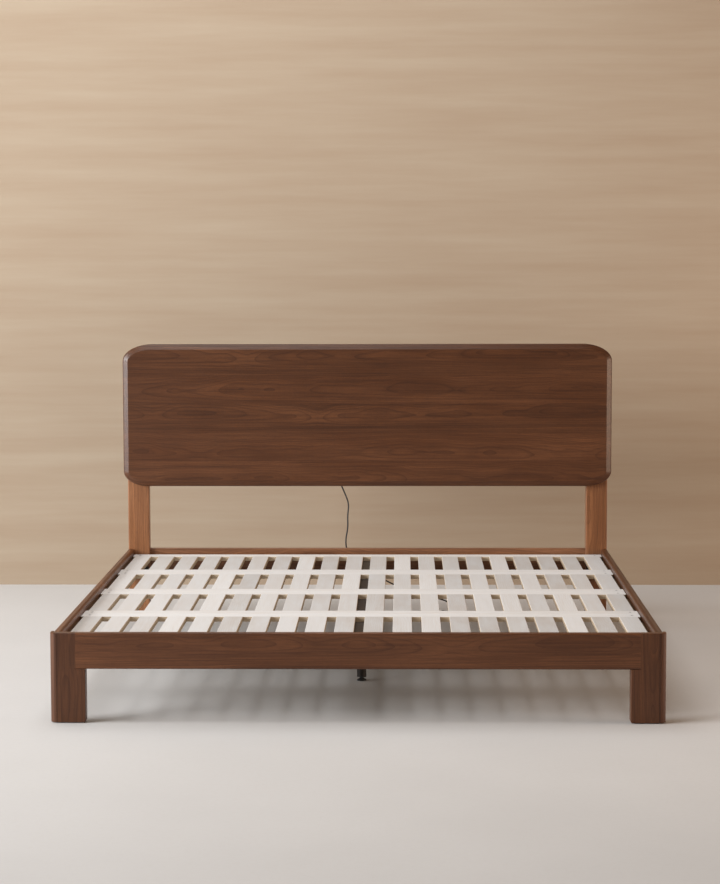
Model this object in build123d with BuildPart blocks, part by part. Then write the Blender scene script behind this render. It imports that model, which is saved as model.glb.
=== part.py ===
from build123d import *
import os
from math import pi, radians, tan

# A walnut platform bed: four rails on two front legs and two tall posts, a flat headboard
# with rounded corners, and a pale slat base in four modules over a steel centre beam.
# +Z is up and the foot end faces -Y. The origin is on the floor under the bed's middle.
# Places along the bed are given from the face of the foot rail, and along() makes them Y.

# The mattress that the frame holds, and the room around it.
mattress_width = 1930
mattress_length = 2032
side_room = 10
end_room = 9

# Rails.
rail_thickness = 24
rail_height = 120
rail_top = 300
rail_edge = 4
rail_inner_round = 10
inner_half = mattress_width / 2 + side_room
rail_outer = inner_half + rail_thickness
rail_bottom = rail_top - rail_height

# Front legs, with a shoulder that the rails stand on.
leg_width = 117
leg_depth = 40
leg_ear = 11
leg_round = 22
leg_foot_round = 9
lap_length = 32
quirk_width = 1.5
quirk_depth = 1.2
leg_outer = rail_outer + leg_ear
leg_inner = leg_outer - leg_width
lap_end = leg_inner + lap_length
pad_thickness = 2

# Posts behind the headboard.
post_width = 88
post_depth = 46
post_top = 1090
post_front = rail_thickness + mattress_length + 2 * end_room
post_inner = rail_outer - post_width
overall_length = post_front + post_depth
rear_rail_front = post_front + 20

# Headboard.
headboard_width = 2026
headboard_bottom = 566
headboard_top = 1157
headboard_thickness = 36
bevel_width = 22
bevel_depth = 12
bevel_round = 8
face_round = 4
top_corner = (122, 70)
bottom_corner = (104, 62)

# Slat base: four modules of two cross bars and twenty slats, all flush.
slat_top = 277
slat_thickness = 18
bar_width = 64
bar_half = inner_half - 1
slat_width = 65
slat_pitch = 98
slats_per_module = 20
module_count = 4
base_start = rail_thickness + 2
base_end = post_front - 2
module_gap = 1
module_pitch = (base_end - base_start + module_gap) / module_count
module_length = module_pitch - module_gap
bar_corner = 6
slat_length = module_length - 2 * bar_width
slat_bottom = slat_top - slat_thickness
bar_screw_x = bar_half - 28

# Ledges that carry the bars.
ledge_width = 40
ledge_height = 30
ledge_start = 58
ledge_end = post_front - 2

# Centre beam and its legs.
beam_size = 40
beam_wall = 2
beam_bottom = slat_bottom - beam_size
beam_start = rail_thickness + 4
beam_end = rear_rail_front - 4
plate_thickness = 3
centre_leg_radius = 17
centre_leg_wall = 2
centre_leg_places = {"front": 747, "rear": 1380}
ferrule_bottom = 14
flange_height = 4
stem_radius = 5
stem_gap = 0.3
stem_top = 58
foot_height = 10

# Fasteners.
screw_radius = 2.5
screw_head_radius = 4.6
bolt_radius = 4
bolt_play = 0.2
bolt_head_radius = 7
bolt_head_height = 4
socket_radius = 3.4
socket_depth = 2.5
counterbore_radius = 11
counterbore_depth = 9
washer_thickness = 1.6
nut_radius = 6
dowel_radius = 5

# Supply box on the back of the headboard, and the cord that leaves it.
box_size = (100, 24, 64)
box_bottom = 640
cord_x = -113
cord_y_from_post = 14
lid_thickness = 4
collar_height = 6
cord_radius = 3
arc_share = 0.45

# The cord's route: X, distance from the foot rail's face, and height.
cord_route = [
    (-113, 2088, 606),
    (-112.5, 2088.5, 576),
    (-96, 2097, 538),
    (-76, 2106, 486),
    (-83, 2112, 436),
    (-81, 2118, 385),
    (-93, 2127, 326),
    (-84, 2135, 272),
    (-48, 2150, 226),
    (2, 2183, 192),
    (44, 2222, 163),
    (104, 2264, 124),
    (170, 2307, 90),
    (240, 2347, 64),
    (315, 2380, 41),
    (352, 2386, 24),
    (385, 2375, 12),
    (408, 2348, 6),
    (416, 2311, 4),
    (413, 2266, 4),
]

# The put-away end of the cord.
coil_centre = (380, 2250)
coil_radius = 33
coil_section = 12
coil_bottom = 1
tie_width = 9
tie_thickness = 1
plug_back = 367
boot_length = 22
plug_size = (32, 25, 18)
blade_size = (17, 1.5, 6.3)
blade_spacing = 12.7

os.makedirs("parts", exist_ok=True)


def along(distance):
    """Y of a place that many millimetres behind the face of the foot rail."""
    return distance - overall_length / 2


def save(piece, name):
    """Label a finished piece and write its file."""
    piece.part.label = name
    export_step(piece.part, f"parts/{name}.step")


def box_between(low, high, mode=Mode.ADD):
    """A box from its lowest to its highest corner, with the middle value from the foot rail."""
    size = [b - a for a, b in zip(low, high)]
    with Locations((low[0], along(low[1]), low[2])):
        Box(*size, align=(Align.MIN, Align.MIN, Align.MIN), mode=mode)


def mirrored(low, high, side, mode=Mode.ADD):
    """The same box on the right, side 1, or on the left, side -1."""
    if side > 0:
        box_between(low, high, mode)
    else:
        box_between((-high[0], low[1], low[2]), (-low[0], high[1], high[2]), mode)


def pin(place, direction, radius, length):
    """A round pin that starts at a place and runs in a direction."""
    start = Plane(origin=(place[0], along(place[1]), place[2]), z_dir=direction)
    with Locations(start):
        Cylinder(radius, length, align=(Align.CENTER, Align.CENTER, Align.MIN))


def countersunk(place, direction, length):
    """A wood screw with a flat head: its head is flush at the place, its shank runs on."""
    start = Plane(origin=(place[0], along(place[1]), place[2]), z_dir=direction)
    with Locations(start):
        Cone(
            screw_head_radius,
            screw_radius,
            screw_head_radius - screw_radius,
            align=(Align.CENTER, Align.CENTER, Align.MIN),
        )
    pin(place, direction, screw_radius, length)


def pan_head(place, direction, length):
    """A wood screw with a low round head that stands on the place."""
    back = tuple(-2.5 * d for d in direction)
    pin([p + b for p, b in zip(place, back)], direction, screw_head_radius, 2.5)
    pin(place, direction, screw_radius, length)


# Headboard: a flat panel whose corners are quarter ellipses, with a bevel round its face.
half = headboard_width / 2
with BuildPart() as headboard_panel:
    with BuildSketch(Plane.XZ.offset(-along(post_front))):
        with BuildLine():
            corners = [
                (half, headboard_top, *top_corner, -1, -1, 0),
                (-half, headboard_top, *top_corner, 1, -1, 90),
                (-half, headboard_bottom, *bottom_corner, 1, 1, 180),
                (half, headboard_bottom, *bottom_corner, -1, 1, 270),
            ]
            arcs = [
                EllipticalCenterArc((x + sx * a, z + sz * b), a, b, start, arc_size=90)
                for x, z, a, b, sx, sz, start in corners
            ]
            for arc, following in zip(arcs, arcs[1:] + arcs[:1]):
                Line(arc @ 1, following @ 0)
        make_face()
    extrude(amount=headboard_thickness)
    face = headboard_panel.faces().sort_by(Axis.Y)[0]
    chamfer(face.edges(), bevel_width, bevel_depth, reference=face)
    chamfer(headboard_panel.faces().sort_by(Axis.Y)[-1].edges(), rail_edge)
    bevel_back = along(post_front) - headboard_thickness + bevel_depth
    bevel_edges = headboard_panel.edges().filter_by_position(Axis.Y, bevel_back - 0.1, bevel_back + 0.1)
    fillet(bevel_edges, bevel_round)
    fillet(headboard_panel.faces().sort_by(Axis.Y)[0].edges(), face_round)
save(headboard_panel, "headboard_panel")

batten_width, batten_thickness = 60, 20
with BuildPart() as headboard_batten:
    box_between(
        (-batten_width / 2, post_front, headboard_bottom + 50),
        (batten_width / 2, post_front + batten_thickness, headboard_top - 50),
    )
    chamfer(headboard_batten.faces().sort_by(Axis.Y)[-1].edges(), 3)
save(headboard_batten, "headboard_batten")

# Posts: drilled from behind for the headboard's bolts and the side rail's bolts.
headboard_bolt_heights = [640, 780, 920, 1040]
headboard_bolt_x = (post_inner + rail_outer) / 2
rail_bolt_heights = [212, 268]
rail_bolt_x = rail_outer - rail_thickness / 2
for side, name in ((-1, "left"), (1, "right")):
    back_holes = [
        Plane(origin=(side * x, along(overall_length), z), z_dir=(0, 1, 0))
        for x, heights in ((headboard_bolt_x, headboard_bolt_heights), (rail_bolt_x, rail_bolt_heights))
        for z in heights
    ]
    with BuildPart() as post:
        mirrored(
            (post_inner, post_front, pad_thickness),
            (rail_outer, overall_length, post_top),
            side,
        )
        fillet(post.edges().filter_by(Axis.Z), rail_edge)
        chamfer(post.faces().sort_by(Axis.Z)[-1].edges(), 2)
        with Locations(*back_holes):
            CounterBoreHole(bolt_radius, counterbore_radius, counterbore_depth)
    save(post, f"headboard_post_{name}")

# Rails. The side rail's inner top edge is well rounded, where a hand or a sheet goes over it.
with BuildPart() as rear_rail:
    box_between(
        (-post_inner, rear_rail_front, rail_bottom),
        (post_inner, rear_rail_front + rail_thickness, rail_top),
    )
    fillet(rear_rail.edges().filter_by(Axis.X), rail_edge)
save(rear_rail, "rear_rail")

with BuildPart() as foot_rail:
    box_between((-lap_end, 0, rail_bottom), (lap_end, rail_thickness, rail_top))
    fillet(foot_rail.edges().filter_by(Axis.X), rail_edge)
save(foot_rail, "foot_rail")

for side, name in ((-1, "left"), (1, "right")):
    with BuildPart() as side_rail:
        mirrored(
            (inner_half, rail_thickness, rail_bottom),
            (rail_outer, post_front, rail_top),
            side,
        )
        long_edges = side_rail.edges().filter_by(Axis.Y).sort_by(Axis.X)
        inner_edges = long_edges[:2] if side > 0 else long_edges[-2:]
        outer_edges = long_edges[-2:] if side > 0 else long_edges[:2]
        fillet(inner_edges.sort_by(Axis.Z)[-1], rail_inner_round)
        fillet(outer_edges, rail_edge)
    save(side_rail, f"side_rail_{name}")

    with BuildPart() as ledge:
        mirrored(
            (inner_half - ledge_width, ledge_start, slat_bottom - ledge_height),
            (inner_half, ledge_end, slat_bottom),
            side,
        )
        inner_face = ledge.faces().sort_by(Axis.X)[0 if side > 0 else -1]
        chamfer(inner_face.edges().filter_by(Axis.Y), 2)
    save(ledge, f"slat_ledge_{name}")

# Front legs: a full block below the rails, and above it a face plate and an outer ear
# that wrap the corner where the two rails meet. A fine groove marks where the face ends
# and the rounded corner starts.
for side, name in ((-1, "left"), (1, "right")):
    with BuildPart() as front_leg:
        mirrored((leg_inner, 0, pad_thickness), (leg_outer, leg_depth, rail_bottom), side)
        mirrored((lap_end, 0, rail_bottom), (leg_outer, rail_thickness, rail_top), side)
        mirrored(
            (rail_outer, rail_thickness, rail_bottom), (leg_outer, leg_depth, rail_top), side
        )
        upright = front_leg.edges().filter_by(Axis.Z)
        outermost = upright.sort_by(Axis.X)[-2:] if side > 0 else upright.sort_by(Axis.X)[:2]
        fillet(outermost.sort_by(Axis.Y)[0], leg_round)
        fillet(outermost.sort_by(Axis.Y)[-1], rail_edge)
        bottom_edges = front_leg.faces().sort_by(Axis.Z)[0].edges()
        inner_bottom = bottom_edges.filter_by(Axis.Y).sort_by(Axis.X)[0 if side > 0 else -1]
        fillet(inner_bottom, leg_foot_round)
        chamfer(front_leg.faces().sort_by(Axis.Z)[0].edges(), 2)
        chamfer(front_leg.faces().sort_by(Axis.Z)[-1].edges(), 2)
        quirk = leg_outer - leg_round
        mirrored((quirk - quirk_width, 0, 0), (quirk, quirk_depth, rail_top), side, Mode.SUBTRACT)
    save(front_leg, f"front_leg_{name}")

with BuildPart() as felt_pads:
    for side in (-1, 1):
        mirrored((leg_inner + 20, 8, 0), (leg_outer - 24, leg_depth - 6, pad_thickness), side)
        mirrored(
            (post_inner + 8, post_front + 6, 0),
            (rail_outer - 8, overall_length - 6, pad_thickness),
            side,
        )
save(felt_pads, "felt_pads")

# Slat base. Each module's two bars reach the rails, and its slats stop short of them.
for module in range(module_count):
    start = base_start + module * module_pitch
    bar_starts = (start, start + module_length - bar_width)
    with BuildPart() as cross_bars:
        for bar_start in bar_starts:
            box_between(
                (-bar_half, bar_start, slat_bottom),
                (bar_half, bar_start + bar_width, slat_top),
            )
        fillet(cross_bars.edges().filter_by(Axis.Z), bar_corner)
        chamfer(cross_bars.faces().filter_by(Axis.Z).group_by(Axis.Z)[-1].edges(), 1)
    save(cross_bars, f"cross_bars_{module + 1}")

    with BuildPart() as slats:
        middle = along(start + module_length / 2)
        with Locations((0, middle, (slat_top + slat_bottom) / 2)):
            with GridLocations(slat_pitch, 0, slats_per_module, 1):
                Box(slat_width, slat_length, slat_thickness)
        chamfer(slats.faces().group_by(Axis.Z)[-1].edges().filter_by(Axis.Y), 1)
    save(slats, f"slats_{module + 1}")

bar_middles = [
    base_start + module * module_pitch + offset
    for module in range(module_count)
    for offset in (bar_width / 2, module_length - bar_width / 2)
]
with BuildPart() as bar_screws:
    for side in (-1, 1):
        for middle in bar_middles:
            countersunk((side * bar_screw_x, middle, slat_top), (0, 0, -1), 40)
save(bar_screws, "bar_screws")

with BuildPart() as ledge_screws:
    spacing = (ledge_end - ledge_start - 200) / 6
    for side in (-1, 1):
        for index in range(7):
            place = (
                side * (inner_half - ledge_width),
                ledge_start + 100 + index * spacing,
                slat_bottom - ledge_height / 2,
            )
            countersunk(place, (side, 0, 0), 40)
save(ledge_screws, "ledge_screws")

# Centre beam: a square steel tube, open inside, hung in a steel hanger at each end.
with BuildPart() as centre_beam:
    with BuildSketch(Plane.XZ.offset(-along(beam_end))):
        with Locations((0, beam_bottom + beam_size / 2)):
            RectangleRounded(beam_size, beam_size, 4)
            RectangleRounded(
                beam_size - 2 * beam_wall, beam_size - 2 * beam_wall, 2, mode=Mode.SUBTRACT
            )
    extrude(amount=beam_end - beam_start)
save(centre_beam, "centre_beam")

with BuildPart() as beam_caps:
    for end, sense in ((beam_start, 1), (beam_end, -1)):
        hole_half = beam_size / 2 - beam_wall
        low, high = sorted((end, end + sense * 12))
        box_between(
            (-hole_half + 0.5, low, beam_bottom + beam_wall + 0.5),
            (hole_half - 0.5, high, beam_bottom + beam_size - beam_wall - 0.5),
        )
    fillet(beam_caps.edges().filter_by(Axis.Y), 3)
save(beam_caps, "beam_caps")

hanger_half = beam_size / 2 + plate_thickness
hanger_reach = 45
hanger_flange = 26
for name, rail_face, sense in (("front", rail_thickness, 1), ("rear", rear_rail_front, -1)):
    with BuildPart() as hanger:
        near, far = sorted((rail_face, rail_face + sense * plate_thickness))
        box_between(
            (-hanger_half - hanger_flange, near, beam_bottom - plate_thickness),
            (hanger_half + hanger_flange, far, slat_bottom - 2),
        )
        near, far = sorted((rail_face, rail_face + sense * hanger_reach))
        box_between(
            (-hanger_half, near, beam_bottom - plate_thickness), (hanger_half, far, beam_bottom)
        )
        for side in (-1, 1):
            mirrored(
                (beam_size / 2, near, beam_bottom), (hanger_half, far, slat_bottom - 2), side
            )
    save(hanger, f"beam_hanger_{name}")

with BuildPart() as hanger_screws:
    for rail_face, sense in ((rail_thickness, 1), (rear_rail_front, -1)):
        for x in (-hanger_half - hanger_flange / 2, hanger_half + hanger_flange / 2):
            for z in (beam_bottom + 8, beam_bottom + 28):
                place = (x, rail_face + sense * plate_thickness, z)
                pan_head(place, (0, -sense, 0), 20)
save(hanger_screws, "hanger_screws")

# Centre legs: a steel tube on a plate under the beam, with a threaded ferrule at its
# bottom that the levelling foot's stem screws into.
tube_bottom = ferrule_bottom + flange_height
plate_bottom = beam_bottom - plate_thickness
for name, place in centre_leg_places.items():
    with BuildPart() as leg_plate:
        box_between((-35, place - 30, plate_bottom), (35, place + 30, beam_bottom))
        fillet(leg_plate.edges().filter_by(Axis.Z), 8)
    save(leg_plate, f"centre_leg_plate_{name}")

    with BuildPart() as centre_leg:
        with BuildSketch(Plane.XY.offset(tube_bottom)):
            with Locations((0, along(place))):
                Circle(centre_leg_radius)
                Circle(centre_leg_radius - centre_leg_wall, mode=Mode.SUBTRACT)
        extrude(amount=plate_bottom - tube_bottom)
    save(centre_leg, f"centre_leg_{name}")

    with BuildPart() as levelling_foot:
        with BuildSketch(Plane.XY):
            with Locations((0, along(place))):
                Circle(centre_leg_radius)
        extrude(amount=foot_height)
        fillet(levelling_foot.edges().sort_by(Axis.Z)[-1], 2)
        with BuildSketch(Plane.XY.offset(foot_height)):
            with Locations((0, along(place))):
                Circle(stem_radius)
        extrude(amount=stem_top - foot_height)
    save(levelling_foot, f"levelling_foot_{name}")

with BuildPart() as leg_ferrules:
    for place in centre_leg_places.values():
        with BuildSketch(Plane.XY.offset(ferrule_bottom)):
            with Locations((0, along(place))):
                Circle(centre_leg_radius)
                Circle(stem_radius + stem_gap, mode=Mode.SUBTRACT)
        extrude(amount=flange_height)
        with BuildSketch(Plane.XY.offset(tube_bottom)):
            with Locations((0, along(place))):
                Circle(centre_leg_radius - centre_leg_wall)
                Circle(stem_radius + stem_gap, mode=Mode.SUBTRACT)
        extrude(amount=20)
save(leg_ferrules, "leg_ferrules")

with BuildPart() as leg_plate_screws:
    for place in centre_leg_places.values():
        for y in (place - 22, place + 22):
            pan_head((0, y, plate_bottom), (0, 0, 1), 8)
save(leg_plate_screws, "leg_plate_screws")

# Corner brackets: a bent steel plate in each inner corner, under the slat ledge.
bracket_arm = 60
bracket_bottom = rail_bottom + 5
bracket_top = slat_bottom - ledge_height - 3
corner_places = (("front", rail_thickness, 1), ("rear", post_front, -1))
for end, face, sense in corner_places:
    for side, name in ((-1, "left"), (1, "right")):
        with BuildPart() as bracket:
            near, far = sorted((face, face + sense * bracket_arm))
            mirrored(
                (inner_half - plate_thickness, near, bracket_bottom),
                (inner_half, far, bracket_top),
                side,
            )
            near, far = sorted((face, face + sense * plate_thickness))
            mirrored(
                (inner_half - bracket_arm, near, bracket_bottom),
                (inner_half, far, bracket_top),
                side,
            )
        save(bracket, f"corner_bracket_{end}_{name}")

with BuildPart() as bracket_screws:
    height = bracket_bottom + 12
    for end, face, sense in corner_places:
        for side in (-1, 1):
            for reach in (22, 42):
                rail_place = (
                    side * (inner_half - plate_thickness),
                    face + sense * reach,
                    height,
                )
                pan_head(rail_place, (side, 0, 0), 20)
                end_place = (
                    side * (inner_half - reach),
                    face + sense * plate_thickness,
                    height,
                )
                pan_head(end_place, (0, -sense, 0), 20)
save(bracket_screws, "bracket_screws")

# Bolts through the posts: four into the headboard on each side, two into each side rail.
# Each head sits on a washer at the bottom of its counterbore.
seat = overall_length - counterbore_depth
head_seat = seat + washer_thickness
bolt_groups = (
    (headboard_bolt_x, headboard_bolt_heights, post_depth + 14, "headboard_bolts"),
    (rail_bolt_x, rail_bolt_heights, post_depth + 44, "side_rail_bolts"),
)
for x, heights, length, name in bolt_groups:
    with BuildPart() as bolts:
        for side in (-1, 1):
            for z in heights:
                place = (side * x, head_seat, z)
                pin(place, (0, -1, 0), bolt_radius - bolt_play, length)
                pin(place, (0, 1, 0), bolt_head_radius, bolt_head_height)
                socket = Plane(
                    origin=(side * x, along(head_seat + bolt_head_height), z), z_dir=(0, 1, 0)
                )
                with BuildSketch(socket):
                    RegularPolygon(socket_radius, 6)
                extrude(amount=-socket_depth, mode=Mode.SUBTRACT)
    save(bolts, name)

with BuildPart() as bolt_washers:
    for side in (-1, 1):
        for x, heights, length, name in bolt_groups:
            for z in heights:
                ring = Plane(origin=(side * x, along(seat), z), z_dir=(0, 1, 0))
                with BuildSketch(ring):
                    Circle(counterbore_radius - 1)
                    Circle(bolt_radius + bolt_play, mode=Mode.SUBTRACT)
                extrude(amount=washer_thickness)
save(bolt_washers, "bolt_washers")

nut_place = post_front - 28
with BuildPart() as barrel_nuts:
    for side in (-1, 1):
        for z in rail_bolt_heights:
            pin((side * (inner_half + 1), nut_place, z), (side, 0, 0), nut_radius, 20)
save(barrel_nuts, "barrel_nuts")

# Dowels join the rear rail to the posts, and screws from behind hold the foot rail's laps.
with BuildPart() as rear_rail_dowels:
    for side in (-1, 1):
        for z in (rail_bottom + 30, rail_top - 30):
            start = (side * (post_inner - 20), rear_rail_front + rail_thickness / 2, z)
            pin(start, (side, 0, 0), dowel_radius, 40)
save(rear_rail_dowels, "rear_rail_dowels")

with BuildPart() as foot_rail_dowels:
    for side in (-1, 1):
        for z in (rail_bottom + 45, rail_top - 25):
            start = (side * (lap_end - 20), rail_thickness / 2, z)
            pin(start, (side, 0, 0), dowel_radius, 40)
save(foot_rail_dowels, "foot_rail_dowels")

with BuildPart() as batten_screws:
    for z in (650, 750, 860, 970, 1070):
        countersunk((0, post_front + batten_thickness, z), (0, -1, 0), 42)
save(batten_screws, "batten_screws")

# Supply box on the headboard's back: a housing, a lid with four screws, and a tapered
# strain relief that points down.
box_width, box_depth, box_height = box_size
box_left = cord_x - box_width / 2
with BuildPart() as supply_box:
    box_between(
        (box_left, post_front, box_bottom),
        (box_left + box_width, post_front + box_depth, box_bottom + box_height),
    )
    fillet(supply_box.edges().filter_by(Axis.Y), 6)
    box_between(
        (box_left + 3, post_front + 3, box_bottom + 3),
        (box_left + box_width - 3, post_front + box_depth, box_bottom + box_height - 3),
        Mode.SUBTRACT,
    )
save(supply_box, "supply_box")

with BuildPart() as supply_box_lid:
    box_between(
        (box_left, post_front + box_depth, box_bottom),
        (box_left + box_width, post_front + box_depth + lid_thickness, box_bottom + box_height),
    )
    fillet(supply_box_lid.edges().filter_by(Axis.Y), 6)
    chamfer(supply_box_lid.faces().sort_by(Axis.Y)[-1].edges(), 1)
save(supply_box_lid, "supply_box_lid")

with BuildPart() as lid_screws:
    for x in (box_left + 9, box_left + box_width - 9):
        for z in (box_bottom + 9, box_bottom + box_height - 9):
            pan_head((x, post_front + box_depth + lid_thickness, z), (0, -1, 0), lid_thickness)
save(lid_screws, "lid_screws")

gland_axis = Vector(cord_x, along(post_front + cord_y_from_post), 0)
relief_bottom = cord_route[0][2]
with BuildPart() as strain_relief:
    with BuildSketch(Plane.XY.offset(box_bottom - collar_height)):
        with Locations(gland_axis):
            Circle(7.5)
    extrude(amount=collar_height)
    with BuildSketch(Plane.XY.offset(box_bottom - collar_height)):
        with Locations(gland_axis):
            Circle(6)
    with BuildSketch(Plane.XY.offset(relief_bottom)):
        with Locations(gland_axis):
            Circle(cord_radius + 0.8)
    loft()
save(strain_relief, "strain_relief")

# The cord: straight runs joined by tangent arcs, each as large as its two runs allow.
route = [Vector(x, along(distance), z) for x, distance, z in cord_route]
radii = []
for before, corner, after in zip(route, route[1:], route[2:]):
    run_in, run_out = corner - before, after - corner
    turn = run_in.get_angle(run_out)
    radii.append(arc_share * min(run_in.length, run_out.length) / tan(radians(turn / 2)))
runs = [(b - a).length for a, b in zip(route, route[1:])]
print("cord runs", [round(run) for run in runs])
print("cord arc radii", [round(radius) for radius in radii])
with BuildPart() as cord_tube:
    with BuildLine() as path:
        FilletPolyline(*route, radius=radii)
    with BuildSketch(Plane(origin=route[0], z_dir=path.line % 0)):
        Circle(cord_radius)
    sweep()
tube_length = path.wire().length
filled = cord_tube.part.volume / (pi * cord_radius**2 * tube_length)
print("cord tube length", round(tube_length), "volume over section times length", filled)
save(cord_tube, "cord_tube")

# The rest of the cord is wound in a flat coil, whose outer shape is a ring.
coil_x, coil_distance = coil_centre
ring_low = coil_bottom
with BuildPart() as cord_coil:
    with BuildSketch(Plane.XY.offset(ring_low)):
        with Locations((coil_x, along(coil_distance))):
            Circle(coil_radius + coil_section / 2)
            Circle(coil_radius - coil_section / 2, mode=Mode.SUBTRACT)
    extrude(amount=coil_section)
    fillet(cord_coil.edges(), 3)
save(cord_coil, "cord_coil")

with BuildPart() as cord_tie:
    across = coil_section + 2 * tie_thickness
    middle = coil_x - coil_radius
    box_between(
        (middle - across / 2, coil_distance - tie_width / 2, 0),
        (middle + across / 2, coil_distance + tie_width / 2, across),
    )
    box_between(
        (middle - coil_section / 2, coil_distance - tie_width / 2, ring_low),
        (middle + coil_section / 2, coil_distance + tie_width / 2, ring_low + coil_section),
        Mode.SUBTRACT,
    )
save(cord_tie, "cord_tie")

# Plug: it lies beside the coil and points along -X.
plug_length, plug_width, plug_height = plug_size
plug_distance = coil_distance - coil_radius
plug_middle = plug_height / 2
boot_end = plug_back - boot_length
with BuildPart() as plug_body:
    box_between(
        (boot_end - plug_length, plug_distance - plug_width / 2, 0),
        (boot_end, plug_distance + plug_width / 2, plug_height),
    )
    fillet(plug_body.edges().filter_by(Axis.X), 5)
    fillet(plug_body.faces().sort_by(Axis.X)[-1].edges(), 3)
    with BuildSketch(Plane(origin=(boot_end, along(plug_distance), plug_middle), z_dir=(1, 0, 0))):
        Circle(6)
    with BuildSketch(Plane(origin=(plug_back, along(plug_distance), plug_middle), z_dir=(1, 0, 0))):
        Circle(cord_radius + 0.8)
    loft()
save(plug_body, "plug_body")

blade_length, blade_thickness, blade_height = blade_size
with BuildPart() as plug_blades:
    for side in (-1, 1):
        middle = plug_distance + side * blade_spacing / 2
        box_between(
            (
                boot_end - plug_length - blade_length,
                middle - blade_thickness / 2,
                plug_middle - blade_height / 2,
            ),
            (
                boot_end - plug_length,
                middle + blade_thickness / 2,
                plug_middle + blade_height / 2,
            ),
        )
save(plug_blades, "plug_blades")
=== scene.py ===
"""A walnut platform bed with a flat rounded headboard, a pale slat base and a black lead.

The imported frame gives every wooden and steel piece. This script gives them their finishes,
and makes the lead with its coil, the coil's tie, the plug, the strain relief and the
levelling feet.
"""

import math

import bpy
import numpy as np
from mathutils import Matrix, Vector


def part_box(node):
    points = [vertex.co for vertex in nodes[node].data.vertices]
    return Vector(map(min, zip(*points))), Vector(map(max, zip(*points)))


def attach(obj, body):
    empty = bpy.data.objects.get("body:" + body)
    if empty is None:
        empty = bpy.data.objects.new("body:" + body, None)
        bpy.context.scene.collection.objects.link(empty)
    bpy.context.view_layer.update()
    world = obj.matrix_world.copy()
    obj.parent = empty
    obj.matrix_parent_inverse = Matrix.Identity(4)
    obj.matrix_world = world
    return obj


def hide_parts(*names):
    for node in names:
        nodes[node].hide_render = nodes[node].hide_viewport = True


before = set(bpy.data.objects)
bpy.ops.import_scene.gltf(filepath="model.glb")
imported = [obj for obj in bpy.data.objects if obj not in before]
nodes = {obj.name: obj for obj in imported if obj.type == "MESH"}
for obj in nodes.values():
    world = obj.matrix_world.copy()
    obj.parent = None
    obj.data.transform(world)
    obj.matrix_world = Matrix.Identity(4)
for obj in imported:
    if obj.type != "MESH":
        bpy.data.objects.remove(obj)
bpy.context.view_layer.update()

# Places read from the frame: the foot rail's front face and the headboard's lower edge.
foot_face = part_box("foot_rail")[0].y
headboard_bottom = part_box("headboard_panel")[0].z


def route_point(x, distance, height):
    """A place given in millimetres: X, the distance behind the foot rail's face, and height."""
    return (x / 1000, foot_face + distance / 1000, height / 1000)


# ---------------------------------------------------------------------------- camera

# The camera stands a little right of the middle, in front of the foot rail, and looks down.
camera_lens = 92.35
camera_right, camera_distance, camera_height = 0.1482, 7.3267, 1.5566
camera_turns = (85.0877, 0.1227, 1.0708)

camera_data = bpy.data.cameras.new("camera")
camera_data.lens = camera_lens
camera = bpy.data.objects.new("camera", camera_data)
bpy.context.scene.collection.objects.link(camera)
camera.location = (camera_right, foot_face - camera_distance, camera_height)
camera.rotation_euler = [math.radians(turn) for turn in camera_turns]
bpy.context.scene.camera = camera


# ------------------------------------------------------------------- the lead's route

cord_radius = 0.003
cord_route = [
    (-113, 2088, 606),
    (-112.5, 2088.5, 576),
    (-96, 2097, 538),
    (-76, 2106, 486),
    (-83, 2112, 436),
    (-81, 2118, 385),
    (-93, 2127, 326),
    (-84, 2135, 272),
    (-48, 2150, 226),
    (2, 2183, 192),
    (44, 2222, 163),
    (104, 2264, 124),
    (170, 2307, 90),
    (240, 2347, 64),
    (315, 2380, 41),
    (352, 2386, 24),
    (385, 2375, 12),
    (408, 2348, 6),
    (416, 2311, 4),
    (416, 2280, 4),
]
coil_centre = (380, 2250)
coil_steps = 16
outer_turn, inner_turn, top_turn = 36.2, 29.8, 33.0
floor_layer, top_layer = 4.0, 10.2
coil_turns = 3.25


def ease(value, start, end):
    """A smooth step from 0 at start to 1 at end."""
    share = min(max((value - start) / (end - start), 0.0), 1.0)
    return share * share * (3 - 2 * share)


def coil_point(turn):
    """A place on the coil after that many clockwise turns.

    The first turn lies outside, the second inside it, and the rest in the groove on top.
    """
    inward = ease(turn, 0.82, 1.04)
    upward = ease(turn, 1.62, 1.82)
    radius = outer_turn + (inner_turn - outer_turn) * inward + (top_turn - inner_turn) * upward
    height = floor_layer + (top_layer - floor_layer) * upward
    angle = -2 * math.pi * turn
    return (
        coil_centre[0] + radius * math.cos(angle),
        coil_centre[1] + radius * math.sin(angle),
        height,
    )


coil_points = [coil_point(step / coil_steps) for step in range(int(coil_turns * coil_steps) + 1)]
plug_lead = [(373, 2217, 9.8), (363, 2217, 9.2), (355, 2217, 9)]


def smooth_curve(name, points, bevel):
    """A NURBS curve with those control points, as thick as bevel."""
    curve = bpy.data.curves.new(name, "CURVE")
    curve.dimensions = "3D"
    spline = curve.splines.new("NURBS")
    spline.points.add(len(points) - 1)
    for target, point in zip(spline.points, points):
        target.co = (*route_point(*point), 1.0)
    spline.order_u = 3
    spline.use_endpoint_u = True
    spline.resolution_u = 6
    curve.bevel_depth = bevel
    curve.bevel_resolution = 5
    curve.use_fill_caps = True
    made = bpy.data.objects.new(name, curve)
    bpy.context.scene.collection.objects.link(made)
    return made


# ------------------------------------------------------------------------- finishes


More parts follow.
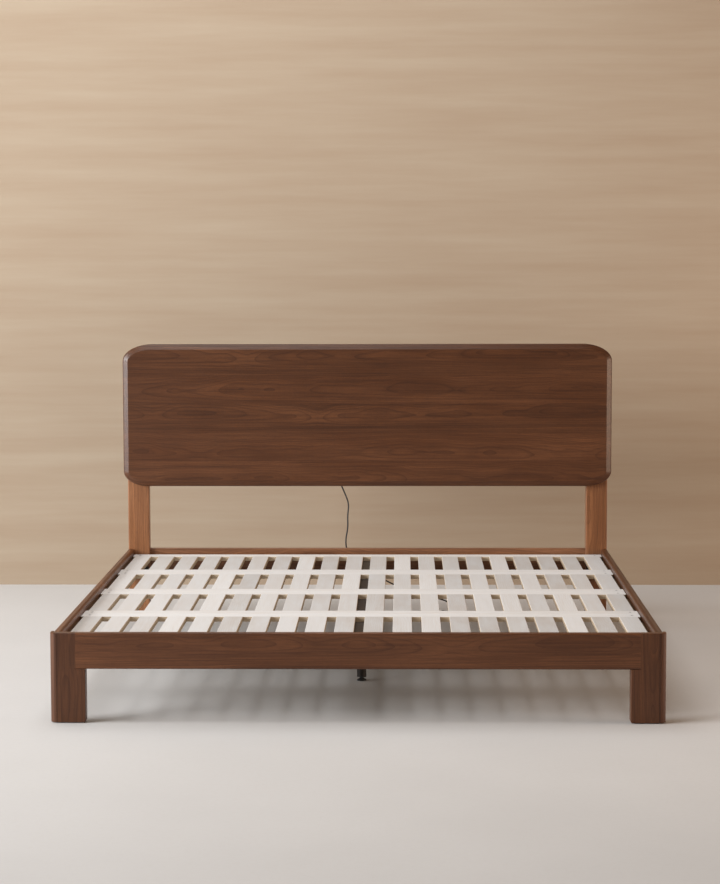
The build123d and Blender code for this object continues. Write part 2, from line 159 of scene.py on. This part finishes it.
class Finish:
    """A node material being put together: each call adds a node and returns its output."""

    def __init__(self, name):
        self.material = bpy.data.materials.new(name)
        self.material.use_nodes = True
        self.tree = self.material.node_tree
        self.tree.nodes.clear()
        self.shader = self.tree.nodes.new("ShaderNodeBsdfPrincipled")
        output = self.tree.nodes.new("ShaderNodeOutputMaterial")
        self.tree.links.new(self.shader.outputs[0], output.inputs[0])
        self.place = self.tree.nodes.new("ShaderNodeTexCoord").outputs["Object"]

    def node(self, kind, inputs, output=0, **settings):
        """A node of that kind, with its settings, its inputs set or linked."""
        made = self.tree.nodes.new(kind)
        for key, value in settings.items():
            setattr(made, key, value)
        for key, value in inputs.items():
            self.set(made.inputs[key], value)
        return made.outputs[output]

    def set(self, socket, value):
        """Link an output to the socket, or give the socket a plain value."""
        if isinstance(value, bpy.types.NodeSocket):
            self.tree.links.new(value, socket)
        else:
            socket.default_value = value

    def math(self, operation, first, second=0.0, third=0.0):
        inputs = {0: first, 1: second, 2: third}
        return self.node("ShaderNodeMath", inputs, operation=operation)

    def vector(self, x, y, z):
        return self.node("ShaderNodeCombineXYZ", {0: x, 1: y, 2: z})

    def parts(self, vector):
        split = self.tree.nodes.new("ShaderNodeSeparateXYZ")
        self.set(split.inputs[0], vector)
        return split.outputs[0], split.outputs[1], split.outputs[2]

    def cells(self, place, length, breadth):
        """A place along, across and into the wood, scaled so that noise of scale 1 has cells
        of that length and breadth."""
        along, across, depth = place
        return self.vector(
            self.math("DIVIDE", along, length),
            self.math("DIVIDE", across, breadth),
            self.math("DIVIDE", depth, breadth),
        )

    def noise(self, vector, scale, detail=3.0, roughness=0.55):
        inputs = {"Vector": vector, "Scale": scale, "Detail": detail, "Roughness": roughness}
        return self.node("ShaderNodeTexNoise", inputs)

    def spread(self, value, low, high, to_low=0.0, to_high=1.0):
        """The value's place between low and high, carried over to another range."""
        inputs = {0: value, 1: low, 2: high, 3: to_low, 4: to_high}
        return self.node("ShaderNodeMapRange", inputs)

    def mix(self, share, first, second, blend="MIX"):
        made = self.tree.nodes.new("ShaderNodeMix")
        made.data_type = "RGBA"
        made.blend_type = blend
        for socket, value in ((0, share), (6, first), (7, second)):
            self.set(made.inputs[socket], (*value, 1.0) if isinstance(value, tuple) else value)
        return made.outputs[2]

    def bump(self, height, strength, distance):
        inputs = {"Height": height, "Strength": strength, "Distance": distance}
        self.set(self.shader.inputs["Normal"], self.node("ShaderNodeBump", inputs))

    def surface(self, **values):
        """Set or link the shader's sockets, named with _ for each space."""
        for key, value in values.items():
            name = key.replace("_", " ")
            value = (*value, 1.0) if isinstance(value, tuple) else value
            self.set(self.shader.inputs[name], value)
        return self.material


# The order in which X, Y and Z become along the grain, across it, and into the board.
GRAIN_ORDER = {"X": (0, 2, 1), "Y": (1, 2, 0), "Z": (2, 0, 1)}


def walnut(piece, grain, seed, tone_and_light=1.0, boards=None):
    """Oiled walnut, sawn from a log whose rings lie round a slightly tilted pith.

    A ring is the distance from the pith line, bent by slow noise. Tone follows the rings in
    broad bands, each ring darkens towards its late wood, and streaks, fibres and pores are
    noise stretched along the grain. tone multiplies the three wood colours, as one number or
    as red, green and blue; besides the wood's own colour it holds painted light and shade,
    making a piece lighter or darker by how the light falls on it. boards is the first joint's
    place across the grain and the boards' width, where several are glued.
    """
    f = Finish(f"walnut_{piece}")
    xyz = f.parts(f.place)
    low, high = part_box(piece)
    order = GRAIN_ORDER[grain]
    along, across, depth = (xyz[i] for i in order)
    depth = f.math("SUBTRACT", depth, low[order[2]])
    if boards:
        start, width = boards
        place = f.math("DIVIDE", f.math("SUBTRACT", across, start), width)
        board = f.math("ADD", f.math("FLOOR", place), float(seed))
        in_board = f.math("FRACT", place)
        middle = f.math("MULTIPLY_ADD", in_board, width, -width / 2)
    else:
        board = f.math("ADD", 0.0, float(seed))
        middle = f.math("SUBTRACT", across, (low[order[1]] + high[order[1]]) / 2)
    chance = f.node("ShaderNodeTexWhiteNoise", {"W": board}, 1, noise_dimensions="1D")
    pick_a, pick_b, pick_c = f.parts(chance)
    shift = f.math("MULTIPLY_ADD", pick_a, 9.0, along)
    at = (shift, middle, depth)

    bend = f.math("MULTIPLY_ADD", f.noise(f.cells(at, 0.55, 0.9), 1.0, 1.0), 0.07, -0.035)
    ripple = f.math("MULTIPLY_ADD", f.noise(f.cells(at, 0.17, 0.35), 1.0, 1.0), 0.016, -0.008)
    wander = f.math("ADD", bend, ripple)
    side = f.math("ADD", f.math("MULTIPLY_ADD", pick_b, 0.10, middle), f.math("ADD", wander, -0.05))
    tilt = f.math("MULTIPLY_ADD", pick_c, 0.06, -0.03)
    deep = f.math("ADD", f.math("MULTIPLY_ADD", along, tilt, 0.045), f.math("ADD", depth, wander))
    square = f.math("ADD", f.math("MULTIPLY", side, side), f.math("MULTIPLY", deep, deep))
    radius = f.math("SQRT", square)
    by_ring = f.vector(f.math("MULTIPLY", radius, 60.0), f.math("MULTIPLY", shift, 0.5), board)
    band = f.noise(by_ring, 1.0, 4.0, 0.6)
    growth = f.math("MULTIPLY_ADD", band, 1.1, f.math("DIVIDE", radius, 0.0066))
    rings = f.math("FRACT", growth)
    late = f.math("POWER", rings, 5.0)

    streak = f.noise(f.cells(at, 0.42, 0.0085), 1.0, 3.0, 0.6)
    fibre = f.noise(f.cells(at, 0.09, 0.0021), 1.0, 3.0, 0.6)
    pore = f.spread(f.noise(f.cells(at, 0.022, 0.0011), 1.0, 1.0, 0.4), 0.60, 0.70)
    cloud = f.spread(f.noise(f.cells(at, 0.55, 0.13), 1.0, 2.0), 0.35, 0.68)

    wood_colours = [(0.152, 0.0565, 0.0215), (0.100, 0.0335, 0.0108), (0.036, 0.0112, 0.0040)]
    # Painted light: the wood colours are scaled by a number that also paints light and shade on this
    # piece.
    toned_and_lit = (np.array(wood_colours) * tone_and_light).tolist()
    light, body, dark = (tuple(colour) for colour in toned_and_lit)
    colour = f.mix(cloud, body, light)
    colour = f.mix(f.spread(band, 0.40, 0.72, 0.0, 0.62), colour, dark)
    colour = f.mix(f.math("MULTIPLY", late, 0.56), colour, dark)
    colour = f.mix(f.spread(streak, 0.48, 0.74, 0.0, 0.55), colour, dark)
    colour = f.mix(f.spread(streak, 0.46, 0.26, 0.0, 0.35), colour, light)
    colour = f.mix(f.spread(fibre, 0.42, 0.70, 0.0, 0.42), colour, dark)
    colour = f.mix(f.math("MULTIPLY", pore, 0.45), colour, dark)
    shade = f.math("MULTIPLY_ADD", pick_b, 0.30, 0.85)
    colour = f.mix(1.0, colour, f.vector(shade, shade, shade), "MULTIPLY")
    if boards:
        near_joint = f.math("ABSOLUTE", f.math("SUBTRACT", in_board, 0.5))
        joint = f.spread(near_joint, 0.5 - 0.0009 / width, 0.5, 0.0, 0.5)
        colour = f.mix(joint, colour, dark)
    f.bump(f.math("MULTIPLY_ADD", fibre, 0.5, f.math("MULTIPLY", pore, -1.0)), 0.2, 0.0005)
    rough = f.spread(fibre, 0.3, 0.8, 0.31, 0.43)
    return f.surface(Base_Color=colour, Roughness=rough, Specular_IOR_Level=0.4)


def pale_wood(name, grain, seed, pitch, first, tint=(0.70, 0.70, 0.70), variety=0.26):
    """Planed pale softwood. Each slat or bar, counted across the grain, has its own tint.

    Faces turned up are pale, and faces whose normal lies level are painted tan: painted shade on the
    sides.
    """
    f = Finish(name)
    x, y, depth = f.parts(f.place)
    along, across = (y, x) if grain == "Y" else (x, y)
    count = f.math("FLOOR", f.math("DIVIDE", f.math("SUBTRACT", across, first), pitch))
    key = f.math("ADD", count, float(seed))
    chance = f.node("ShaderNodeTexWhiteNoise", {"W": key}, 1, noise_dimensions="1D")
    pick_a, pick_b, pick_c = f.parts(chance)
    shift = f.math("MULTIPLY_ADD", pick_a, 7.0, along)
    at = (shift, across, depth)

    bend = f.math("MULTIPLY", f.noise(f.cells(at, 0.30, 0.08), 1.0, 2.0), 0.05)
    growth = f.math("DIVIDE", f.math("ADD", across, bend), 0.0085)
    late = f.math("POWER", f.math("FRACT", growth), 4.0)
    streak = f.spread(f.noise(f.cells(at, 0.25, 0.018), 1.0, 4.0, 0.6), 0.42, 0.75)
    fibre = f.noise(f.cells(at, 0.05, 0.0017), 1.0, 2.0)
    cloud = f.spread(f.noise(f.cells(at, 0.20, 0.06), 1.0, 2.0), 0.35, 0.7)
    pink = (tint[0] * 0.93, tint[1] * 0.885, tint[2] * 0.85)
    warm = (tint[0] * 0.80, tint[1] * 0.69, tint[2] * 0.57)
    painted_side_shade = (tint[0] * 0.74, tint[1] * 0.60, tint[2] * 0.44)
    colour = f.mix(f.math("MULTIPLY", cloud, f.spread(pick_b, 0.25, 0.9)), tint, pink)
    colour = f.mix(f.math("MULTIPLY", streak, 0.22), colour, warm)
    colour = f.mix(f.math("MULTIPLY", late, f.spread(pick_c, 0.35, 1.0, 0.02, 0.38)), colour, warm)
    colour = f.mix(f.spread(fibre, 0.5, 0.8, 0.0, 0.16), colour, warm)
    shade = f.spread(pick_b, 0.0, 1.0, 1.0, 1.0 - variety)
    colour = f.mix(1.0, colour, f.vector(shade, shade, shade), "MULTIPLY")
    # Painted shade: the colour turns tan on faces whose normal lies level, darker than the faces turned
    # up.
    normal = f.tree.nodes.new("ShaderNodeTexCoord").outputs["Normal"]
    level = f.math("ABSOLUTE", f.parts(normal)[2])
    colour = f.mix(f.spread(level, 0.75, 0.35), colour, painted_side_shade)
    f.bump(fibre, 0.12, 0.0005)
    return f.surface(Base_Color=colour, Roughness=0.6, Specular_IOR_Level=0.28)


def powder_coat():
    """Fine black powder coat: an even fine orange-peel over steel."""
    f = Finish("black_powder_coat")
    peel = f.noise(f.place, 900.0, 2.0)
    patch = f.spread(f.noise(f.place, 14.0, 2.0), 0.3, 0.7)
    colour = f.mix(patch, (0.024, 0.019, 0.016), (0.038, 0.029, 0.024))
    f.bump(peel, 0.25, 0.0003)
    rough = f.spread(peel, 0.3, 0.7, 0.42, 0.6)
    return f.surface(Base_Color=colour, Roughness=rough, Specular_IOR_Level=0.35)


def zinc_plate():
    """Bright zinc plate with faint drawing marks and cloudy tarnish."""
    f = Finish("zinc_plate")
    mark = f.noise(f.place, 1400.0, 2.0)
    cloud = f.spread(f.noise(f.place, 120.0, 3.0), 0.35, 0.7)
    colour = f.mix(cloud, (0.66, 0.66, 0.64), (0.48, 0.47, 0.44))
    f.bump(mark, 0.1, 0.0002)
    return f.surface(Base_Color=colour, Metallic=1.0, Roughness=f.spread(cloud, 0, 1, 0.28, 0.46))


def black_oxide():
    """Dark oiled screw steel."""
    f = Finish("black_oxide")
    cloud = f.spread(f.noise(f.place, 260.0, 3.0), 0.35, 0.7)
    colour = f.mix(cloud, (0.045, 0.040, 0.036), (0.085, 0.075, 0.065))
    return f.surface(Base_Color=colour, Metallic=0.8, Roughness=f.spread(cloud, 0, 1, 0.4, 0.55))


def moulded_plastic():
    """Black nylon with a spark-eroded grain."""
    f = Finish("moulded_nylon")
    grain = f.noise(f.place, 1600.0, 2.0)
    patch = f.spread(f.noise(f.place, 40.0, 2.0), 0.3, 0.7)
    colour = f.mix(patch, (0.017, 0.017, 0.018), (0.027, 0.026, 0.026))
    f.bump(grain, 0.3, 0.0002)
    return f.surface(Base_Color=colour, Roughness=f.spread(grain, 0.3, 0.7, 0.45, 0.62))


def cord_sheath():
    """The lead's matt black sheath, a little dusty."""
    f = Finish("cord_sheath")
    dust = f.spread(f.noise(f.place, 90.0, 4.0), 0.4, 0.75)
    grain = f.noise(f.place, 2200.0, 1.0)
    colour = f.mix(f.math("MULTIPLY", dust, 0.5), (0.013, 0.013, 0.014), (0.045, 0.043, 0.040))
    f.bump(grain, 0.12, 0.0001)
    return f.surface(Base_Color=colour, Roughness=f.spread(dust, 0, 1, 0.42, 0.6))


def woven_tie():
    """Black woven tape: two crossed sets of threads."""
    f = Finish("woven_tie")
    x, y, z = f.parts(f.place)
    thread = 2 * math.pi / 0.0009
    warp = f.math("SINE", f.math("MULTIPLY", f.math("ADD", x, z), thread))
    weft = f.math("SINE", f.math("MULTIPLY", y, thread))
    weave = f.math("MULTIPLY", warp, weft)
    colour = f.mix(f.spread(weave, -1, 1), (0.018, 0.018, 0.02), (0.06, 0.06, 0.065))
    f.bump(weave, 0.4, 0.0003)
    return f.surface(Base_Color=colour, Roughness=0.85, Sheen_Weight=0.3)


def pressed_felt():
    """Brown pressed felt: tangled fibres as fine noise."""
    f = Finish("pressed_felt")
    fibres = f.noise(f.place, 1100.0, 4.0, 0.7)
    cloud = f.noise(f.place, 90.0, 3.0)
    colour = f.mix(fibres, (0.10, 0.075, 0.055), (0.21, 0.17, 0.13))
    colour = f.mix(f.spread(cloud, 0.4, 0.7, 0.0, 0.4), colour, (0.07, 0.05, 0.04))
    f.bump(fibres, 0.6, 0.0006)
    return f.surface(Base_Color=colour, Roughness=0.95, Sheen_Weight=0.4)


def plug_brass():
    """Plain brass with fine wiping marks along the blades."""
    f = Finish("plug_brass")
    x, y, z = f.parts(f.place)
    along = f.math("MULTIPLY", x, 60.0)
    across = f.math("MULTIPLY", y, 900.0)
    upward = f.math("MULTIPLY", z, 900.0)
    mark = f.noise(f.vector(along, across, upward), 1.0, 2.0)
    colour = f.mix(mark, (0.80, 0.61, 0.30), (0.62, 0.45, 0.20))
    return f.surface(Base_Color=colour, Metallic=1.0, Roughness=f.spread(mark, 0.3, 0.7, 0.2, 0.38))


def dress(names, material):
    """Give CAD pieces their finish."""
    for name in names:
        piece = nodes[name]
        piece.data.materials.clear()
        piece.data.materials.append(material)


board_width = 0.1185
first_joint = headboard_bottom - 0.012
headboard_boards = (first_joint, board_width)
# Each walnut piece, the direction of its grain, its seed, its tone (the wood's own colour with painted
# light and shade) and its glued boards.
# Painted light and shade in these numbers: the left post is painted lighter than the right, as if lit
# from the left; the shaded posts, rear rail and foot rail are painted brighter; the right side rail is
# painted darker than the left.
walnut_pieces = [
    ("headboard_panel", "X", 3, 0.82, headboard_boards),
    ("foot_rail", "X", 21, 1.25),
    ("rear_rail", "X", 34, (2.05, 2.5, 3.2)),
    ("side_rail_left", "Y", 41, 1.3),
    ("side_rail_right", "Y", 47, 0.8),
    ("front_leg_left", "Z", 52, 0.97),
    ("front_leg_right", "Z", 58, 1.1),
    ("headboard_post_left", "Z", 63, (3.3, 4.1, 5.0)),
    ("headboard_post_right", "Z", 67, (2.0, 2.4, 2.8)),
    ("headboard_batten", "Z", 71, 1.2),
]
for piece, *wood in walnut_pieces:
    dress([piece], walnut(piece, *wood))

slat_pitch = 0.098
for module in range(1, 5):
    low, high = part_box(f"cross_bars_{module}")
    half_module = (high.y - low.y) / 2
    bar_wood = pale_wood(f"pale_bars_{module}", "X", 11 * module, half_module, low.y, variety=0.03)
    dress([f"cross_bars_{module}"], bar_wood)
    slat_wood = pale_wood(f"pale_slats_{module}", "Y", 100 + 31 * module, slat_pitch, 0.0)
    dress([f"slats_{module}"], slat_wood)

ledge_wood = pale_wood("ledge_pine", "Y", 900, 1.0, -0.5, (0.62, 0.47, 0.31))
dress(["slat_ledge_left", "slat_ledge_right"], ledge_wood)
dowel_wood = pale_wood("dowel_beech", "X", 950, 1.0, -0.5, (0.70, 0.54, 0.38))
dress(["rear_rail_dowels", "foot_rail_dowels"], dowel_wood)

black_steel = powder_coat()
zinc = zinc_plate()
dark_steel = black_oxide()
plastic = moulded_plastic()
sheath = cord_sheath()
steel_starts = ("centre_beam", "centre_leg", "beam_hanger", "corner_bracket")
dress([name for name in nodes if name.startswith(steel_starts)], black_steel)
fastener_ends = ("_screws", "_bolts", "_washers", "_nuts")
dress([name for name in nodes if name.endswith(fastener_ends)], zinc)
dress(["bar_screws"], dark_steel)
dress(["beam_caps", "leg_ferrules", "supply_box", "supply_box_lid"], plastic)
dress(["levelling_foot_front", "levelling_foot_rear"], plastic)
dress(["felt_pads"], pressed_felt())
dress(["plug_blades"], plug_brass())


# ----------------------------------------------------------------------- new pieces


def piece_from(name, points, faces, material, body="bed", smooth=True):
    """A mesh piece in the shared frame, with its finish and its body."""
    mesh = bpy.data.meshes.new(name)
    mesh.from_pydata([tuple(p) for p in points], [], faces)
    mesh.polygons.foreach_set("use_smooth", np.full(len(mesh.polygons), smooth))
    mesh.materials.append(material)
    mesh.update()
    made = bpy.data.objects.new(name, mesh)
    bpy.context.scene.collection.objects.link(made)
    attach(made, body)
    return made


def grid_faces(rows, columns):
    """Quads of a grid that closes round its columns, with both ends left open."""
    r, c = np.meshgrid(np.arange(rows - 1), np.arange(columns), indexing="ij")
    here = r * columns + c
    beside = r * columns + (c + 1) % columns
    quads = np.stack([here, beside, beside + columns, here + columns], -1)
    return [tuple(q) for q in quads.reshape(-1, 4).tolist()]


def tube_of(rings):
    """Points and outward faces of stacked closed rings, first to last, with both ends closed."""
    rings = np.asarray(rings, float)
    rows, columns = rings.shape[:2]
    faces = grid_faces(rows, columns)
    faces.append(tuple(range(columns - 1, -1, -1)))
    faces.append(tuple(range((rows - 1) * columns, rows * columns)))
    return rings.reshape(-1, 3), faces


def turned(profile, centre, axis, segments=32):
    """Rings of a turned shape: each profile pair is a radius and a distance along the axis."""
    axis = np.asarray(axis, float)
    aside = np.cross(axis, (0.0, 0.0, 1.0) if abs(axis[2]) < 0.9 else (0.0, 1.0, 0.0))
    aside /= np.linalg.norm(aside)
    upright = np.cross(axis, aside)
    angle = np.linspace(0, 2 * np.pi, segments, endpoint=False)
    circle = np.cos(angle)[:, None] * aside + np.sin(angle)[:, None] * upright
    return [np.asarray(centre) + radius * circle + reach * axis for radius, reach in profile]


# The lead itself, its coil and the tie round the coil.
cord = smooth_curve("lead", cord_route + coil_points + plug_lead, cord_radius)
cord.data.materials.append(sheath)
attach(cord, "bed")
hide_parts("cord_tube", "cord_coil")


def strap_rings(low, high, rounding, margin, count=40):
    """A flat strap round a box section, as a rounded rectangle that is thick by margin.

    Its outline is the point (sign(cos) |cos|^p, sign(sin) |sin|^p), a squared circle.
    """
    angle = np.linspace(0, 2 * np.pi, count, endpoint=False)
    half = (np.asarray(high) - np.asarray(low)) / 2
    middle = (np.asarray(high) + np.asarray(low)) / 2
    x = np.sign(np.cos(angle)) * np.abs(np.cos(angle)) ** rounding
    z = np.sign(np.sin(angle)) * np.abs(np.sin(angle)) ** rounding
    walls = []
    for inset, side in ((0, -1), (0, 1), (margin, 1), (margin, -1)):
        ring = np.stack(
            [
                middle[0] + (half[0] - inset) * x,
                np.full(count, middle[1] + side * half[1]),
                middle[2] + (half[2] - inset) * z,
            ],
            -1,
        )
        walls.append(ring)
    return np.array(walls)


def closed_band(walls):
    """Faces of a band whose four corner rings join round in both directions."""
    rows, columns = walls.shape[:2]
    r, c = np.meshgrid(np.arange(rows), np.arange(columns), indexing="ij")
    here = r * columns + c
    beside = r * columns + (c + 1) % columns
    above = ((r + 1) % rows) * columns + c
    corner = ((r + 1) % rows) * columns + (c + 1) % columns
    quads = np.stack([here, above, corner, beside], -1).reshape(-1, 4)
    return walls.reshape(-1, 3), [tuple(q) for q in quads.tolist()]


tie_low, tie_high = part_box("cord_tie")
tie_points, tie_faces = closed_band(strap_rings(tie_low, tie_high, 0.45, 0.0009))
tie = piece_from("coil_tie", tie_points, tie_faces, woven_tie())
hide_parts("cord_tie")


def relief_profile(thick, thin, length, ribs):
    """A tapered sleeve with ribs: the radius falls in a line and steps in at each groove."""
    steps = 6
    reach = np.linspace(0, 1, ribs * steps + 1)
    taper = thick + (thin - thick) * reach
    in_groove = (np.arange(len(reach)) % steps >= steps / 2) & (reach > 0.12) & (reach < 0.93)
    groove = np.where(in_groove, 0.82, 1.0)
    return [(r * g, length * d) for r, g, d in zip(taper, groove, reach)]


relief_low, relief_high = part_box("strain_relief")
relief_middle = (relief_low + relief_high) / 2
relief_top = np.array([relief_middle.x, relief_middle.y, relief_high.z])
collar_length = 0.006
collar = [
    (0.0045, 0), (0.0073, 0), (0.0075, 0.0006),
    (0.0075, 0.0052), (0.0070, 0.0058), (0.0062, collar_length),
]
sleeve_length = relief_high.z - relief_low.z - collar_length
sleeve = [(r, collar_length + d) for r, d in relief_profile(0.0061, 0.0037, sleeve_length, 6)]
relief_points, relief_faces = tube_of(turned(collar + sleeve, relief_top, (0, 0, -1)))
relief = piece_from("box_strain_relief", relief_points, relief_faces, sheath)
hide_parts("strain_relief")


def rounded_section(half_width, half_height, power, count=36):
    """A squared circle in two directions: |x/a|^n + |z/b|^n = 1 with n above 2."""
    angle = np.linspace(0, 2 * np.pi, count, endpoint=False)
    c, s = np.cos(angle), np.sin(angle)
    across = half_width * np.sign(c) * np.abs(c) ** (2 / power)
    upward = half_height * np.sign(s) * np.abs(s) ** (2 / power)
    return across, upward


plug_low, plug_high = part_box("plug_body")
plug_y, plug_z = (plug_low.y + plug_high.y) / 2, (plug_low.z + plug_high.z) / 2
plug_half_y, plug_half_z = (plug_high.y - plug_low.y) / 2, (plug_high.z - plug_low.z) / 2
plug_rings = []
plug_outline = [
    (0.0000, 0.80, 7.0), (0.0008, 0.93, 6.0), (0.0020, 1.00, 6.0), (0.0100, 1.00, 6.0),
    (0.0130, 0.97, 5.0), (0.0135, 0.93, 5.0), (0.0150, 0.92, 5.0), (0.0155, 0.96, 5.0),
    (0.0180, 0.95, 5.0), (0.0185, 0.90, 5.0), (0.0200, 0.89, 5.0), (0.0205, 0.93, 5.0),
    (0.0230, 0.90, 4.5), (0.0235, 0.85, 4.5), (0.0250, 0.84, 4.5), (0.0255, 0.86, 4.5),
    (0.0300, 0.70, 3.5), (0.0320, 0.52, 3.0),
]
for reach, share, power in plug_outline:
    y, z = rounded_section(plug_half_y * share, plug_half_z * share, power)
    plug_rings.append(np.stack([np.full(y.shape, plug_low.x + reach), plug_y + y, plug_z + z], -1))
boot_start = plug_low.x + plug_outline[-1][0]
for radius, reach in relief_profile(0.0058, 0.0037, plug_high.x - boot_start, 5):
    y, z = rounded_section(radius, radius, 2)
    plug_rings.append(np.stack([np.full(y.shape, boot_start + reach), plug_y + y, plug_z + z], -1))
plug_points, plug_faces = tube_of(plug_rings)
plug = piece_from("lead_plug", plug_points, plug_faces, sheath)
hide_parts("plug_body")


def turned_foot(name, node, body, material):
    """A levelling foot: a flared ribbed pad, a hexagonal nut and a threaded stem, turned as rings.

    The pad's radius swings with 24 grips round it, the nut's radius is its half width over the
    cosine of the angle from its nearest flat, and the stem's radius swings once per thread.
    """
    low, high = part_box(node)
    centre = np.array([(low.x + high.x) / 2, (low.y + high.y) / 2, low.z])
    turns = 96
    angle = np.linspace(0, 2 * np.pi, turns, endpoint=False)
    circle = np.stack([np.cos(angle), np.sin(angle), np.zeros(turns)], -1)
    up = np.array([0.0, 0.0, 1.0])
    grips = 1 - 0.018 * (0.5 + 0.5 * np.cos(24 * angle))
    flat = (angle + np.pi / 6) % (np.pi / 3) - np.pi / 6
    hexagon = 1 / np.cos(flat)
    pad_radius, stem_radius, nut_half = (high.x - low.x) / 2, 0.0048, 0.0085
    rings = []
    for radius, height, shape in (
        (0.95 * pad_radius, 0.0, 1.0), (pad_radius, 0.0008, 1.0), (pad_radius, 0.0012, grips),
        (pad_radius, 0.0042, grips), (0.985 * pad_radius, 0.0050, 1.0), (0.80 * pad_radius, 0.0058, 1.0),
        (0.70 * pad_radius, 0.0062, 1.0), (0.66 * pad_radius, 0.0064, 1.0), (nut_half, 0.0066, hexagon),
        (nut_half, 0.0094, hexagon), (0.93 * nut_half, 0.0099, 1.0), (stem_radius, 0.0100, 1.0),
    ):
        rings.append(centre + circle * (radius * np.broadcast_to(shape, turns))[:, None] + height * up)
    thread, steps = 0.0015, 6
    for height in np.arange(0.0104, high.z - low.z - 0.0004, thread / steps):
        phase = 2 * np.pi * height / thread
        radius = stem_radius + 0.0002 * np.cos(phase - angle)
        rings.append(centre + circle * radius[:, None] + height * up)
    rings.append(centre + circle * 0.0040 + (high.z - low.z) * up)
    points, faces = tube_of(rings)
    foot = piece_from(name, points, faces, material, body)
    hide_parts(node)


turned_foot("front_levelling_pad", "levelling_foot_front", "foot_front", plastic)
turned_foot("rear_levelling_pad", "levelling_foot_rear", "foot_rear", plastic)


# ------------------------------------------------------------------ floor and light

scene = bpy.context.scene
scene.view_settings.view_transform = "Standard"
scene.view_settings.exposure = 0.0


def pale_floor():
    """A pale matt floor with faint cloudy wear."""
    f = Finish("pale_floor")
    cloud = f.noise(f.place, 1.4, 4.0)
    speck = f.noise(f.place, 60.0, 3.0)
    colour = f.mix(cloud, (0.535, 0.527, 0.518), (0.60, 0.592, 0.583))
    colour = f.mix(f.spread(speck, 0.45, 0.75, 0.0, 0.12), colour, (0.5, 0.46, 0.43))
    return f.surface(Base_Color=colour, Roughness=0.85, Specular_IOR_Level=0.0)


def warm_plaster():
    """A plain warm wall that only its front shows, so that it hides nothing from behind."""
    f = Finish("warm_plaster")
    x, y, z = f.parts(f.place)
    bed = f.vector(f.math("MULTIPLY", x, 0.9), y, f.math("MULTIPLY", z, 14.0))
    layer = f.spread(f.noise(bed, 1.0, 5.0, 0.6), 0.3, 0.7)
    colour = f.mix(layer, (0.330, 0.250, 0.178), (0.370, 0.297, 0.220))
    f.surface(Base_Color=colour, Roughness=0.7, Specular_IOR_Level=0.2)
    clear = f.node("ShaderNodeBsdfTransparent", {})
    behind = f.tree.nodes.new("ShaderNodeNewGeometry").outputs["Backfacing"]
    shown = f.node("ShaderNodeMixShader", {0: behind, 1: f.shader.outputs[0], 2: clear})
    output = next(n for n in f.tree.nodes if n.bl_idname == "ShaderNodeOutputMaterial")
    f.set(output.inputs[0], shown)
    return f.material


def flat_sheet(name, corners, material):
    """One four-cornered sheet of the studio."""
    mesh = bpy.data.meshes.new(name)
    mesh.from_pydata(corners, [], [(0, 1, 2, 3)])
    mesh.materials.append(material)
    made = bpy.data.objects.new(name, mesh)
    scene.collection.objects.link(made)
    return made


floor_half, wall_half, wall_top = 14.0, 7.0, 6.0
wall_y = foot_face + 3.07
floor_corners = [(-floor_half, -floor_half, 0), (floor_half, -floor_half, 0)]
floor_corners += [(floor_half, floor_half, 0), (-floor_half, floor_half, 0)]
flat_sheet("floor", floor_corners, pale_floor())
wall_corners = [(-wall_half, wall_y, 0), (wall_half, wall_y, 0)]
wall_corners += [(wall_half, wall_y, wall_top), (-wall_half, wall_y, wall_top)]
wall = flat_sheet("wall", wall_corners, warm_plaster())
wall.visible_shadow = False


def soft_light(name, place, target, size, power, colour):
    """A rectangular soft light at a place, turned to face a target.

    It is tipped from straight down by the angle whose tangent is the level distance over the
    drop, and then turned about the upright axis towards the target.
    """
    data = bpy.data.lights.new(name, "AREA")
    data.shape = "RECTANGLE"
    data.size, data.size_y = size
    data.energy = power
    data.color = colour
    made = bpy.data.objects.new(name, data)
    scene.collection.objects.link(made)
    made.location = place
    x, y, z = np.array(target, float) - np.array(place, float)
    tip = math.atan2(math.hypot(x, y), -z)
    turn = math.atan2(y, x) - math.pi / 2
    made.rotation_euler = (tip, 0, turn)


soft_light("left_window", (-7.4, -3.2, 2.5), (0, -0.4, 0.8), (4.8, 3.6), 1040, (0.97, 0.985, 1.0))
soft_light("ceiling", (-1.0, -0.2, 4.6), (0, -0.2, 0), (4.0, 2.8), 118, (0.98, 0.99, 1.0))
soft_light("right_window", (4.8, -1.0, 1.0), (0, 0.4, 0.9), (2.2, 1.6), 105, (1.0, 0.74, 0.55))

world = bpy.data.worlds.new("studio")
world.use_nodes = True
background = world.node_tree.nodes["Background"]
background.inputs[0].default_value = (1.0, 0.76, 0.57, 1.0)
background.inputs[1].default_value = 0.20
scene.world = world
